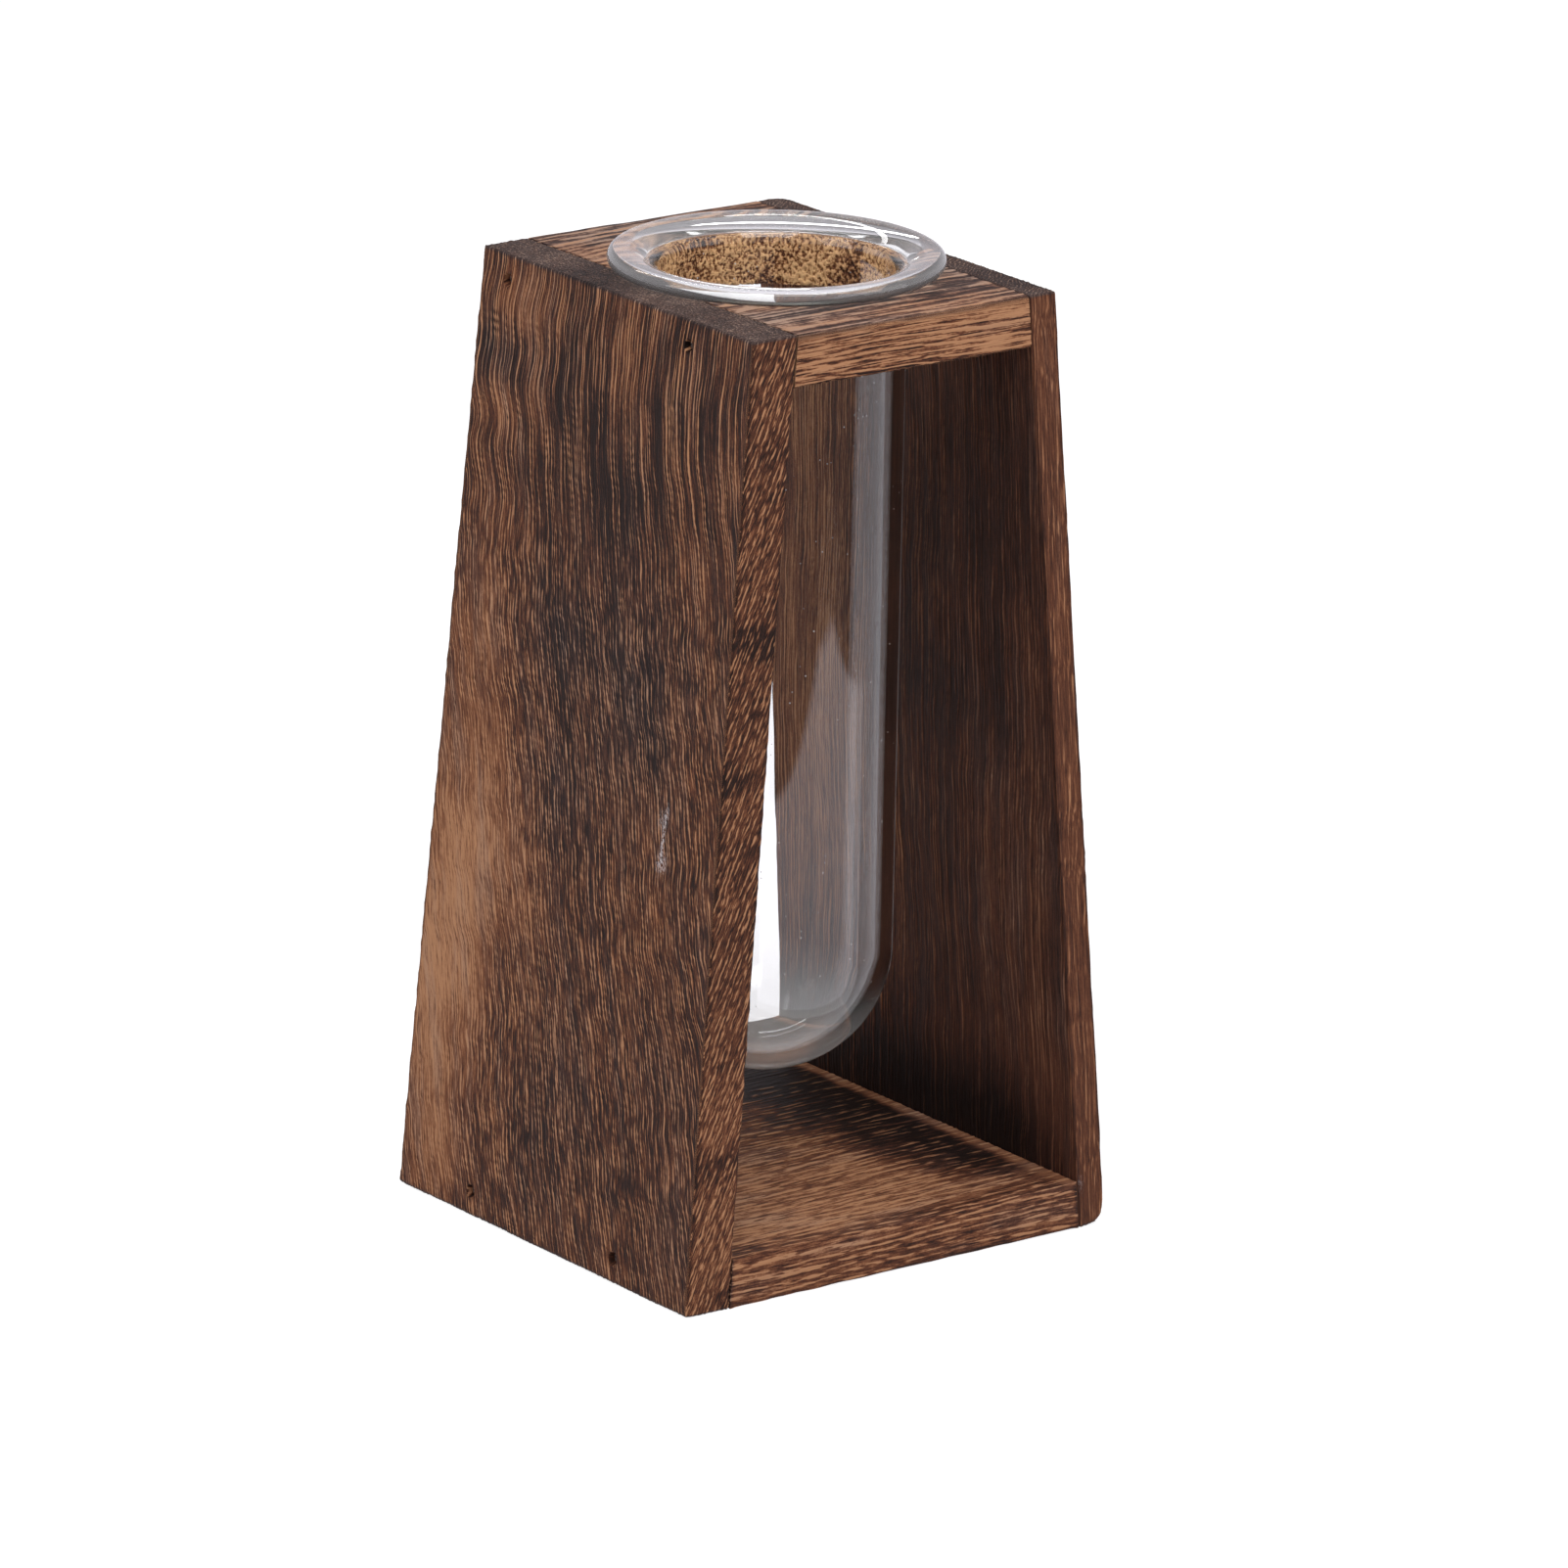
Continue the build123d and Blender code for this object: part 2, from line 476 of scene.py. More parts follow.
def wood_colour(tree, grain, height, fine, speck, tone):
    """The wood's colour: warm, smoky grey or golden, with pale crests, dark pores and scuffs."""
    smoky = step(tree, noise(tree, grain, 0.3, 0.04, place=61), 0.42, 0.72, 0, 0.36)
    greyness = calc(tree, "ADD", read(tree, "grey"), smoky)
    colour = blend(tree, greyness, colour_ramp(tree, tone, WARM_STOPS), colour_ramp(tree, tone, GREY_STOPS))
    golden = step(tree, read(tree, "knob"), 0.5, 0.9)
    colour = blend(tree, golden, colour, colour_ramp(tree, tone, GOLDEN_STOPS))

    # Pale crests on the ridges, broken here and there: the ridges' paler wood, partly a painted highlight
    broken = step(tree, noise(tree, grain, 0.9, 0.11, detail=1, place=52), 0.42, 0.58)
    crest = product(tree, step(tree, height, 0.5, 0.9), broken, read(tree, "crest"))
    colour = blend(tree, crest, colour, srgb(*CREST_AND_HIGHLIGHT_COLOUR))

    # Dark pores in the grooves, but not in golden wood
    groove = product(tree, step(tree, height, 0.1, 0), step(tree, fine, 0.5, 0.15))
    pore = product(tree, groove, calc(tree, "SUBTRACT", 1, golden), 0.55)
    colour = blend(tree, pore, colour, srgb(*PORE_COLOUR))

    scuff = product(tree, read(tree, "scuff"), step(tree, speck, 0.46, 0.56))
    return blend(tree, scuff, colour, srgb(*SCUFF_COLOUR))


def torched_wood():
    """Scorched and brushed wood, shaped by the fields of each board's mesh."""
    material, tree = new_material("torched_wood")
    grain = read(tree, "grain", "FLOAT_VECTOR")
    height = wood_height(tree)
    fine = step(tree, noise(tree, grain, 4.4, 0.22, place=21), 0.34, 0.66)
    speck = noise(tree, grain, 3.2, 1.6, roughness=0.7, place=41)
    tone = wood_tone(tree, grain, height, fine, speck)
    bumps = total(tree, (height, 0.55), (fine, 0.5), (speck, 0.5))
    bumps = product(tree, bumps, calc(tree, "ADD", 1, read(tree, "knob")))
    bump = add(tree, "ShaderNodeBump", {"Height": bumps, "Strength": 0.55, "Distance": 0.22 * MM})
    shader = add(tree, "ShaderNodeBsdfPrincipled", {
        "Base Color": wood_colour(tree, grain, height, fine, speck, tone),
        "Roughness": step(tree, tone, 0.1, 0.9, 0.62, 0.8),
        "Normal": bump,
        "Specular IOR Level": 0.12,
    })
    add(tree, "ShaderNodeOutputMaterial", {"Surface": shader})
    return material


def glass_haze_and_sheen(tree):
    """How hazy the glass is: as its field says, which paints light into the bowl, or else where it has dust,
    with a painted sheen where it is seen edge on.
    """
    position = add(tree, "ShaderNodeTexCoord").outputs["Object"]
    cells = add(tree, "ShaderNodeTexVoronoi", {"Vector": position, "Scale": DUST_CELLS / MM})
    grains = step(tree, cells.outputs["Distance"], 0.14, 0.09)
    chance = add(tree, "ShaderNodeSeparateColor", {0: cells.outputs["Color"]})
    dust = product(tree, grains, step(tree, chance, 0.93, 0.95))
    facing = add(tree, "ShaderNodeLayerWeight", {"Blend": 0.5}).outputs["Facing"]
    # Seen edge on, the glass gets a painted sheen along its outline
    dust_and_edge_sheen = total(tree, (dust, 0.6), (step(tree, facing, 0.86, 0.98), 0.45))
    bowl_light_and_rim_haze = read(tree, "haze_and_painted_light")
    return calc(tree, "MULTIPLY_ADD", dust_and_edge_sheen, step(tree, bowl_light_and_rim_haze, 0.01, 0), bowl_light_and_rim_haze)


def clear_glass():
    """Clear glass, faintly green in depth, hazy round its rim, with painted light in its bowl and a painted
    sheen where it is seen edge on.
    """
    material, tree = new_material("clear_glass")
    glass = add(tree, "ShaderNodeBsdfPrincipled", {
        "Base Color": (1, 1, 1, 1),
        "Roughness": 0,
        "IOR": GLASS_IOR,
        "Transmission Weight": 1,
    })
    haze_and_painted_light = add(tree, "ShaderNodeBsdfDiffuse", {"Color": HAZE_AND_LIGHT_COLOUR})
    hazed_and_lit = mix_shader(tree, glass_haze_and_sheen(tree), glass, haze_and_painted_light)
    # Lamps reach what is behind the glass
    clear = add(tree, "ShaderNodeBsdfTransparent", {"Color": SHADOW_TINT})
    path = add(tree, "ShaderNodeLightPath")
    surface = mix_shader(tree, path.outputs["Is Shadow Ray"], hazed_and_lit, clear)
    depth = add(tree, "ShaderNodeVolumeAbsorption", {"Color": DEPTH_TINT, "Density": DEPTH_DENSITY})
    add(tree, "ShaderNodeOutputMaterial", {"Surface": surface, "Volume": depth})
    return material


def brad_steel():
    """Steel wire darkened by the torch."""
    material, tree = new_material("brad_steel")
    position = add(tree, "ShaderNodeTexCoord").outputs["Object"]
    stain = add(tree, "ShaderNodeTexNoise", {"Vector": position, "Scale": 2.2 / MM, "Detail": 3})
    colour = blend(tree, step(tree, stain, 0.35, 0.65), srgb(*STAIN_COLOUR), srgb(*STEEL_COLOUR))
    bump = add(tree, "ShaderNodeBump", {"Height": stain, "Strength": 0.5, "Distance": 0.05 * MM})
    shader = add(tree, "ShaderNodeBsdfPrincipled", {
        "Base Color": colour,
        "Metallic": 1,
        "Roughness": 0.42,
        "Normal": bump,
    })
    add(tree, "ShaderNodeOutputMaterial", {"Surface": shader})
    return material


def relief(piece, depth):
    """Sinks the grooves of the grain into a board's mesh, and deeper where it is knobbly."""
    tree = bpy.data.node_groups.new("relief", "GeometryNodeTree")
    for way in ("INPUT", "OUTPUT"):
        tree.interface.new_socket("Geometry", in_out=way, socket_type="NodeSocketGeometry")
    start = tree.nodes.new("NodeGroupInput")
    sunk = calc(tree, "SUBTRACT", wood_height(tree), 1)
    deeper = calc(tree, "MULTIPLY_ADD", read(tree, "knob"), KNOB_DEPTH, 1)
    groove = product(tree, sunk, depth * MM, deeper)
    normal = add(tree, "GeometryNodeInputNormal")
    offset = add(tree, "ShaderNodeVectorMath", {0: normal, "Scale": groove}, operation="SCALE")
    moved = add(tree, "GeometryNodeSetPosition", {"Geometry": start, "Offset": offset})
    add(tree, "NodeGroupOutput", {0: moved})
    modifier = piece.modifiers.new("relief", "NODES")
    modifier.node_group = tree
    shaped = bpy.data.meshes.new_from_object(piece.evaluated_get(bpy.context.evaluated_depsgraph_get()))
    piece.modifiers.clear()
    piece.data = shaped


# Side boards: their own axes run up along the grain, back across it, and inward

def edge_distance(local, size):
    """How far each point on a block lies from its nearest edge."""
    return np.sort(np.minimum(local, size - local), axis=1)[:, 1]


def brad_places(nodes):
    """The height and the depth of each of the two brads in each node."""
    places = []
    for node in nodes:
        low, high = (Vector(corner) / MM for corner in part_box(node))
        height = (low.z + high.z) / 2
        places += [(height, low.y + BRAD_HEAD_RADIUS), (height, high.y - BRAD_HEAD_RADIUS)]
    return places


def side_radius(local, side, thickness, foot_wear):
    """The radius of a side board's arrises: uneven, and larger and chipped at the foot."""
    radius = eased(local, seed=3 + side)
    foot = spot(local * (1, 0, 1), (0, 0, 0), (FOOT_WEAR_REACH, 1, FOOT_WEAR_REACH))
    chips = ramp(drift(local, 2.2, seed=60 + side, waves=14), 0.35, 0.9) * ramp(local[:, 0], 4, 0.5)
    radius += (foot_wear - ARRIS_RADIUS) * foot + CHIP_DEPTH * chips
    return np.clip(radius, LEAST_RADIUS, thickness / 2 - 0.1)


def worn_corner(points, size):
    """A side board's points with its upper back corner worn round, seen from above."""
    wear = ramp(points[:, 0], size[0] - CORNER_WEAR_START, size[0] - CORNER_WEAR_END)
    radius = ARRIS_RADIUS + CORNER_WEAR * wear
    from_centre = np.stack([size[1] - points[:, 1] - radius, points[:, 2] - radius], axis=1)
    out = np.linalg.norm(np.minimum(from_centre, 0), axis=1)
    pull = np.minimum(radius / np.maximum(out, 1e-9), 1)
    pulled = np.where(from_centre < 0, from_centre * pull[:, None], from_centre)
    worn = points.copy()
    worn[:, 1] = size[1] - radius - pulled[:, 0]
    worn[:, 2] = radius + pulled[:, 1]
    return worn


def brad_pockets(local, through, height, depth, places):
    """Where the pockets over the brads are, and the darker wood round them."""
    outer = ramp(through, 1.5, 1)
    radius = POCKET_RADIUS + POCKET_UNEVENNESS * drift(local, 1.2, seed=70)
    pocket = np.zeros(len(local))
    halo = np.zeros(len(local))
    for brad_height, brad_depth in places:
        away = np.hypot(height - brad_height, depth - brad_depth)
        pocket = np.maximum(pocket, outer * ramp(away - radius, 0.1, -0.12))
        halo = np.maximum(halo, outer * ramp(away, 2.2, 0.9))
    return pocket, halo


def side_board(name, side, thickness, foot_wear, brads, zones):
    """A side board. Side is -1 for the left one and 1 for the right one."""
    size = np.array([STAND_HEIGHT, BASE_DEPTH, thickness])
    places = brad_places(brads)
    centres = [(height, (depth / half_depth(height) + 1) / 2 * BASE_DEPTH) for height, depth in places]
    local, faces = refined(*block_surface(size, SIDE_CELLS), centres)
    shaped = rounded(local, size, side_radius(local, side, thickness, foot_wear))
    if side > 0:
        shaped = worn_corner(shaped, size)
    height = shaped[:, 0]
    depth = (shaped[:, 1] / size[1] * 2 - 1) * half_depth(height)
    pocket, halo = brad_pockets(local, shaped[:, 2], height, depth, places)
    through = shaped[:, 2] + pocket * POCKET_DEPTH
    across = side * (half_width(height) - through)
    points = np.stack([across, depth, height], axis=1)
    # No point leaves the box of the solids
    points = np.clip(points, np.array(cad_low) / MM, np.array(cad_high) / MM)
    centred = local - (0, size[1] / 2, 0)
    fields = zones(centred, edge_distance(local, size), size)
    # Painted shade darkens the pockets, and the wood round them is darker
    fields["tone"] = fields["tone"] + HALO_TONE * halo + POCKET_SHADE * pocket
    piece = make_mesh(name, points, faces, fields)
    relief(piece, SIDE_RELIEF)
    return piece


# Cross boards: their own axes run to the right along the grain, back across it, and up

def cross_size(low, high):
    """The size of a cross board between two heights."""
    return np.array([2 * half_width(low) - LEFT_THICKNESS - RIGHT_THICKNESS, BASE_DEPTH, high - low])


def cross_board(name, low, high, zones):
    """A cross board without a hole."""
    size = cross_size(low, high)
    local, faces = block_surface(size, CROSS_CELLS)
    at_joint = ramp(np.minimum(local[:, 0], size[0] - local[:, 0]), 1.5, 0.3)
    radius = faded(np.clip(eased(local, seed=11), LEAST_RADIUS, 1.2), JOINT_RADIUS, at_joint)
    shaped = rounded(local, size, radius)
    height = low + shaped[:, 2]
    places = between_sides(shaped[:, 0] / size[0], shaped[:, 1] / size[1], height)
    points = np.column_stack([places, height])
    centred = local - (0, size[1] / 2, 0)
    piece = make_mesh(name, points, faces, zones(centred, edge_distance(local, size), size))
    relief(piece, CROSS_RELIEF)
    return piece


def square_walk():
    """The two coordinates of points round the unit square, corner to corner."""
    x = np.linspace(0, 1, WALK_ACROSS + 1)[:-1]
    y = np.linspace(0, 1, WALK_BACK + 1)[:-1]
    across = np.concatenate([x, y * 0 + 1, 1 - x, y * 0])
    back = np.concatenate([x * 0, y, x * 0 + 1, 1 - y])
    return across, back


def section_rows(low, high, arris, torn, lip, under):
    """The top board's section, up its edge, over its top to the hole, and back along its underside.

    A row is what it is measured from, how far off it lies, or over a face its share of the way to the
    hole, and its height. Arris, torn, lip and under are radii.
    """
    turns = np.linspace(0, math.pi / 2, ROUND_ROWS)
    level = arris * 0

    def rounding(start, radius, centre, up, turns):
        return [(start, radius * (1 - math.cos(t)), centre + up * radius * math.sin(t)) for t in turns]

    def wall(start, first, last, count):
        return [(start, level, first + (last - first) * share) for share in np.linspace(0, 1, count)]

    def face(height, shares):
        return [("face", share, level + height) for share in shares[1:-1]]

    return [
        *wall("edge", low + torn, high - arris, EDGE_ROWS),
        *rounding("edge", arris, high - arris, 1, turns[1:]),
        *face(high, np.linspace(0, 1, FACE_ROWS)),
        *rounding("hole", lip, high - lip, 1, turns[::-1]),
        *wall("hole", high - lip, low + under, WALL_ROWS)[1:-1],
        *rounding("hole", under, low + under, -1, turns),
        *face(low, np.linspace(1, 0, FACE_ROWS)),
        *rounding("edge", torn, low + torn, -1, turns[::-1][:-1]),
    ]


def holed_board(name, low, high, zones):
    """The top board, as one section that is carried round the hole."""
    across, back = square_walk()
    middle_height = (low + high) / 2
    centre = np.array([TUBE_X, 0])
    outward = between_sides(across, back, middle_height) - centre
    outward /= np.linalg.norm(outward, axis=1, keepdims=True)
    on_hole = centre + outward * HOLE_RADIUS

    # The lower arris is torn, and the ends in the joints are sharp
    on_front = (back == 0) | (back == 1)
    around = np.stack([across * 50, back * 80, across * 0], axis=1)
    arris = np.where(on_front, eased(around, seed=21), JOINT_RADIUS)
    torn = np.clip(0.55 + 0.45 * drift(around, 1.3, seed=24, waves=12), 0.2, 1.1)
    torn = np.where(on_front, torn, JOINT_RADIUS)
    lip = LIP_RADIUS + 0.25 * drift(around, 7, seed=22)
    under = ARRIS_RADIUS + 0.2 * drift(around, 6, seed=23)

    points = []
    inset = []
    for start, amount, height in section_rows(low, high, arris, torn, lip, under):
        outer = between_sides(across, back, height)
        span = outer - on_hole
        length = np.linalg.norm(span, axis=1)
        if start == "edge":
            flat = amount
        elif start == "hole":
            flat = length - amount
        else:
            flat = arris + (length - arris - np.where(height > middle_height, lip, under)) * amount
        place = outer - span * (flat / length)[:, None]
        points.append(np.column_stack([place, height]))
        inset.append(np.minimum(flat, length - flat))
    rings, count = len(points), len(across)
    faces = []
    for ring in range(rings):
        a, b = ring * count, (ring + 1) % rings * count
        for i in range(count):
            j = (i + 1) % count
            faces.append((a + i, a + j, b + j, b + i))

    points = np.concatenate(points)
    size = cross_size(low, high)
    local = points - (0, 0, low)
    edges = np.maximum(np.concatenate(inset), np.minimum(local[:, 2], size[2] - local[:, 2]))
    from_hole = np.hypot(points[:, 0] - TUBE_X, points[:, 1]) - HOLE_RADIUS
    piece = make_mesh(name, points, faces, zones(local, edges, size, from_hole))
    relief(piece, CROSS_RELIEF)
    return piece


# The wood of each board

# What a board has where nothing else is given
PLAIN_FIELDS = dict(tone=0, grey=0, contrast=1, crest=0.6, fleck=0.3, edge=0, scuff=0, knob=0)

# Each board's grain is its own part of the noise, so far off across and along it
NARROW_PLACE = 200
RIGHT_PLACE = (400, 300)
FLOOR_PLACE = (800, 600)
TOP_PLACE = (1200, 900)

# The left board's grain leans below its top, is wavy at the top, and curly at some heights
LEAN = 0.28
LEAN_START = 28
LEAN_SOFTNESS = 8
WAVE_REPEAT = 14
KINK_REPEAT = 11
CURL_WIDTH = 3.6
CURLY_HEIGHTS = (139, 119, 110, 97, 76, 62, 50, 31, 18)

# Patches on the left board: height, place across, the reach of each, and the tone and grey they add
LEFT_PATCHES = [
    (146, 13, 20, 6, -0.26, 0.1),
    (134, -6, 15, 14, -0.3, 0.2),
    (110, 6, 9, 13, -0.2, 0.5),
    (102, -17, 15, 10, -0.2, 0.55),
    (84, 4, 14, 10, -0.12, 0.3),
    (70, 26, 18, 14, 0.26, 0),
    (60, 12, 14, 9, 0.06, 0),
    (44, 38, 30, 15, 0.58, 0),
    (10, 33, 12, 10, 0.22, 0),
    (104, 36, 24, 11, 0.28, 0),
    (166, 30, 7, 16, 0.22, 0),
    (148, 33, 12, 13, 0.2, 0),
    (155, 36, 5, 12, -0.12, 0.4),
    (28, -2, 22, 10, -0.13, 0.2),
    (12, -16, 8, 14, 0.02, 0),
    (14, -38, 10, 8, -0.12, 0.3),
    (160, -30, 16, 14, -0.04, 0),
]
# The same on the right board
RIGHT_PATCHES = [
    (125, -28, 30, 9, -0.14, 0),
    (62, -22, 24, 12, 0.12, 0),
    (38, -38, 26, 8, 0.14, 0),
    (92, -8, 16, 14, -0.12, 0),
]
# The spots of the pale forked scuff on the left board: height, place across, and reach of each
LEFT_SCUFF = [
    (86.6, -27.9, 1, 0.35), (85.2, -27.4, 1.2, 0.35), (85, -26.2, 0.7, 0.9), (83.2, -27.2, 1.6, 0.32),
    (81, -27, 1.6, 0.32), (79, -26.9, 1.2, 0.4), (77.6, -27.9, 1, 0.7), (77.2, -26.5, 1.1, 0.8),
]
# The dark lines across the floor: how far back, and the tone they add
FLOOR_LINES = [(12, -0.22), (-8, -0.18), (31, -0.15)]
FLOOR_LINE_WIDTH = 0.7


def fields_of(local, across, along, through, **given):
    """The fields that the wood reads, the grain's own coordinates among them."""
    fields = {"grain": np.stack([across, through, along], axis=1)}
    for name, value in {**PLAIN_FIELDS, **given}.items():
        fields[name] = value + np.zeros(len(local))
    return fields


def burnt(local, edge, seed):
    """How burnt the arrises are, unevenly over the first millimetre."""
    reach = 1 + 0.5 * drift(local, 6, seed=seed)
    return ramp(edge, reach, 0.1) * (0.75 + 0.35 * drift(local, 5, seed=seed + 1))


def patched(places, patches):
    """The tone and the grey that patches add at each place."""
    tone = np.zeros(len(places))
    grey = np.zeros(len(places))
    for height, place, reach_up, reach_across, more_tone, more_grey in patches:
        patch = spot(places, (height, place), (reach_up, reach_across))
        tone += more_tone * patch
        grey += more_grey * patch
    return tone, grey


def side_faces(local, size):
    """Where a side board's narrow front and back faces are, and its two ends."""
    up, back, _ = local.T
    return at_ends(back, size[1], 0.8, 0.3), at_ends(up - size[0] / 2, size[0], 0.7, 0.3)


def curly_bands(local):
    """How curly the left board's grain is: 1 in the middle of each band."""
    bands = np.zeros(len(local))
    for height in CURLY_HEIGHTS:
        away = local[:, 0] - height + 3 * drift(local, (60, 22, 60), seed=80 + height)
        bands += np.exp(-((away / CURL_WIDTH) ** 2))
    return np.clip(bands, 0, 1)


def left_sway(local, curl):
    """How far the left board's grain runs off a straight line."""
    up, back, _ = local.T
    lean = LEAN * LEAN_SOFTNESS * np.logaddexp(0, (STAND_HEIGHT - up - LEAN_START) / LEAN_SOFTNESS)
    sway = 1.6 * drift(local, (46, 60, 60), seed=5) + 0.5 * drift(local, (14, 30, 40), seed=6)
    wave = 0.6 * np.sin(math.tau * up / WAVE_REPEAT) * ramp(back, 5, 30) * ramp(up, 110, 132)
    kink = 0.25 * np.sin(math.tau * (up / KINK_REPEAT + 0.03 * back)) * curl
    return lean + sway + wave + kink


def left_zones(local, edge, size):
    """The left board: grain that leans towards the front, with curly bands, and tan wood at the back edge."""
    up, back, through = local.T
    narrow, end = side_faces(local, size)
    curl = curly_bands(local)
    patch_tone, patch_grey = patched(local[:, :2], LEFT_PATCHES)
    tone = 0.03 * drift(local, (40, 14, 30), seed=7) + 0.01 + patch_tone - 0.07 * curl
    contrast = 1.65 + 0.25 * ramp(up, 120, 140) - 0.75 * ramp(tone, 0.08, 0.28)

    # The narrow faces show short leaning flecks, with bark in places, and the ends are grey
    bark = ramp(drift(local, (13, 60, 60), seed=9), 0.35, 0.8) * narrow
    narrow_tone = 0.04 + 0.18 * ramp(up, 60, 30) - 0.26 * bark
    end_tone = 0.05 - 0.25 * spot(local * (0, 1, 0), (0, 10, 0), (1, 9, 1))
    fork = np.zeros(len(local))
    for height, place, reach_up, reach_across in LEFT_SCUFF:
        fork += spot(local, (height, place, 0), (reach_up, reach_across, 1))
    return fields_of(
        local,
        across=faded(back + left_sway(local, curl), NARROW_PLACE, narrow),
        along=up * (1 + 1.2 * narrow),
        through=through - (0.2 * through + 0.3 * up) * narrow,
        tone=faded(faded(tone, narrow_tone, narrow), end_tone, end),
        grey=np.clip(patch_grey, 0, 1) * (1 - narrow) - 0.4 * narrow * (1 - end) + 0.9 * end,
        contrast=faded(contrast, 1.25, narrow) * (1 - 0.5 * end),
        crest=faded(0.55 + 0.3 * ramp(up, 118, 140), 0.75, narrow) * (1 - 0.9 * end),
        fleck=faded(0.85 * ramp(up, 140, 118), 1, narrow),
        edge=burnt(local, edge, 90) * (1 - 0.6 * end),
        scuff=np.minimum(fork, 1),
    )


def right_zones(local, edge, size):
    """The right board: very dark inside, with reddish streaks, and lighter on its narrow faces."""
    up, back, through = local.T
    narrow, end = side_faces(local, size)
    inner = ramp(through, size[2] - 1, size[2] - 0.2)
    sway = 1.2 * drift(local, (60, 90, 60), seed=15) + 0.3 * drift(local, (12, 30, 40), seed=16)

    # The inner face is lighter behind the tube, and darkest low down away from its front edge, where a
    # painted shade lies along the floor
    behind = ramp(back, 0, 16)
    inside = 0.38 * behind * ramp(up, 20, 70) * (1 - 0.3 * ramp(up, 90, 130)) - 0.09
    inside += patched(local[:, :2], RIGHT_PATCHES)[0] - 0.5 * ramp(up, 30, 10) * ramp(back, -42, -22)
    outside = 0.05 + 0.14 * drift(local, (60, 18, 30), seed=17)
    weaker = 0.34 * inner * (1 + 0.8 * ramp(up, 40, 15) - 1.6 * behind)
    return fields_of(
        local,
        across=back + sway + RIGHT_PLACE[0] + 0.05 * up,
        along=up + RIGHT_PLACE[1],
        through=through,
        tone=faded(outside, inside, inner) * (1 - narrow) * (1 - end) + 0.05 * narrow,
        grey=faded(faded((0.15 - 0.35 * behind) * inner, -0.2, narrow), 0.9, end),
        contrast=faded(1 - weaker, 0.6, narrow),
        crest=(0.5 - 0.4 * inner) * (1 - 0.9 * end),
        fleck=0.35 + 0.3 * drift(local, (40, 30, 30), seed=18),
        edge=burnt(local, edge, 92) * (1 - 0.6 * end),
        scuff=spot(local, (8, -44, 5.2), (0.5, 1, 0.5)),
    )


def bottom_zones(local, edge, size):
    """The floor board: tan at the front and the left, darker towards the back, and charred with a painted
    shadow along the right board.
    """
    along, back, up = local.T
    right = size[0] - along
    sway = 0.8 * drift(local, (50, 60, 60), seed=25)
    front = ramp(-back, size[1] / 2 - 0.8, size[1] / 2 - 0.3)

    # A dark strip along the right board, wider at the back, is char with a painted shadow on it
    char_and_shadow = ramp(right + 3 * drift(local, 20, seed=27) + 7 * ramp(back, 10, -44), 33, 8)
    char_and_shadow *= ramp(back, -42, -24)
    tone = 0.36 - 0.9 * char_and_shadow - 0.34 * ramp(back, -14, 38)
    tone += 0.16 * spot(local * (1, 1, 0), (12, -24, 0), (22, 13, 1))
    tone -= 0.3 * ramp(back + 1.5 * drift(local, (12, 60, 60), seed=29), -37, -41)
    wander = 0.8 * drift(local, (40, 60, 60), seed=28)
    for place, more_tone in FLOOR_LINES:
        tone += more_tone * np.exp(-(((back - place + wander) / FLOOR_LINE_WIDTH) ** 2))

    # A pale seam runs along the right board
    seam = ramp(right + 0.6 * drift(local, 6, seed=30), 4.8, 1.6)
    seam *= ramp(up, size[2] - 1, size[2] - 0.3)
    end = at_ends(along - size[0] / 2, size[0], 0.4, 0.1) * (1 - seam)
    return fields_of(
        local,
        across=(back + sway) * 0.5 + FLOOR_PLACE[0],
        along=along + FLOOR_PLACE[1],
        through=up * 0.65,
        tone=faded(faded(tone, 0.24, front), 0.3, seam),
        grey=0.15 * char_and_shadow + 0.5 * end - 0.1,
        contrast=(1.15 + 0.2 * front) * (1 - 0.6 * seam),
        crest=0.5 * (1 - seam),
        fleck=0.8,
        edge=burnt(local, edge, 94) * (1 - seam),
    )


def top_zones(local, edge, size, from_hole):
    """The top board: tan and grey streaks, an orange front edge, and knobbly golden wood round the hole."""
    along, back, up = local.T
    sway = 0.9 * drift(local, (40, 50, 60), seed=35)
    wall = ramp(from_hole, 0.9, 0.2)
    front = at_ends(back, TOP_DEPTH, 0.6, -0.1) * (1 - ramp(up, size[2] - 0.7, size[2] - 0.2))
    rough = ramp(up, 2.2, 0.6) * front
    band = drift(local, (90, 9, 60), seed=36)
    upper_tone = 0.46 + 0.12 * band - 0.1 * ramp(-along, 1, -6)
    front_tone = 0.54 + 0.14 * drift(local, (20, 30, 4), seed=38) - 0.2 * rough
    wall_tone = 0.1 + 0.3 * drift(local, (8, 8, 12), seed=37)
    upper_grey = np.clip((0.5 - 0.3 * band) * (1 - front), 0, 0.8)
    return fields_of(
        local,
        across=(back + sway) * (1 - 0.66 * (1 - front) * (1 - wall)) + TOP_PLACE[0],
        along=along * (1 - 0.4 * front) + TOP_PLACE[1],
        through=up * (1 - 0.12 * front),
        tone=faded(faded(upper_tone, front_tone, front), wall_tone, wall),
        grey=(upper_grey - 0.15 * front) * (1 - wall),
        contrast=2 + 0.5 * front - 0.75 * wall,
        crest=0.8 + 0.2 * front - 0.45 * wall,
        fleck=0.25 + 0.35 * front + 0.3 * rough,
        edge=burnt(local, edge, 96) * (1 - wall),
        knob=wall,
    )


# The tube

